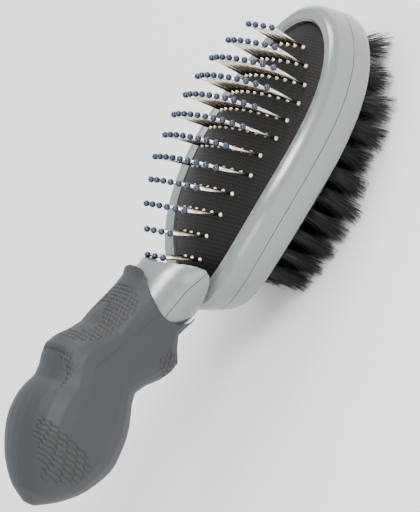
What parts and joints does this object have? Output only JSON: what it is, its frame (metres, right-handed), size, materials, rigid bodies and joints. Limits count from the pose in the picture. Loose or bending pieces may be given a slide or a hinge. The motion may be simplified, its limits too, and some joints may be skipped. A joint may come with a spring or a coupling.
{
  "type": "bristle brush",
  "caption": "Two-sided pet grooming brush: ball-tipped pins on a domed cushion on one face, soft bristle tufts on the other, oval head on a contoured rubber grip.",
  "frame": {"origin": "under the middle of the oval head, in the plane of the bristle tips", "axes": "+X from the grip's end to the head's end, +Y across the head, +Z the way the pins point"},
  "size_m": [0.2384, 0.0832, 0.0918],
  "materials": {
    "front_frame": "satin, moulded",
    "neck_cover": "satin, moulded",
    "rear_frame": "satin, moulded",
    "grip_sleeve": "matte soft-touch with engraved scale patches",
    "handle_core": "moulded",
    "backing_plate": "moulded",
    "bristle_block": "moulded",
    "cushion_pad": "fine woven grain",
    "pins": "polished wire with glossy dark blue ball tips",
    "pivot_pin": "ground",
    "return_pads": "matte",
    "bristles": "glossy fibre strands"
  },
  "bodies": {
    "handle": {"grip_sleeve": "grip_sleeve", "handle_core": "handle_core", "return_pad_front": "return_pads", "return_pad_rear": "return_pads"},
    "head": {"front_frame": "front_frame", "neck_cover": "neck_cover", "rear_frame": "rear_frame", "backing_plate": "backing_plate", "bristle_block": "bristle_block", "pivot_pin": "pivot_pin", "bristle_row_01": "bristles", "bristle_row_02": "bristles", "bristle_row_03": "bristles", "bristle_row_04": "bristles", "bristle_row_05": "bristles", "bristle_row_06": "bristles", "bristle_row_07": "bristles", "bristle_row_08": "bristles", "bristle_row_09": "bristles", "bristle_row_10": "bristles", "bristle_row_11": "bristles"},
    "cushion": {"cushion_pad": "cushion_pad", "pin_row_01": "pins", "pin_row_02": "pins", "pin_row_03": "pins", "pin_row_04": "pins", "pin_row_05": "pins", "pin_row_06": "pins", "pin_row_07": "pins", "pin_row_08": "pins", "pin_row_09": "pins", "pin_row_10": "pins", "pin_row_11": "pins", "pin_row_12": "pins"}
  },
  "joints": [
    {"name": "head_rock", "type": "hinge", "parent": "handle", "child": "head", "pos_m": [-0.07664, 0, 0.05284], "axis": [0, 1, 0], "range_deg": [-3.5, 3.5], "stiffness_Nm_per_rad": 14},
    {"name": "cushion_press", "type": "slide", "parent": "head", "child": "cushion", "axis": [0, 0, -1], "range_m": [0, 0.0024], "stiffness_N_per_m": 2500}
  ]
}
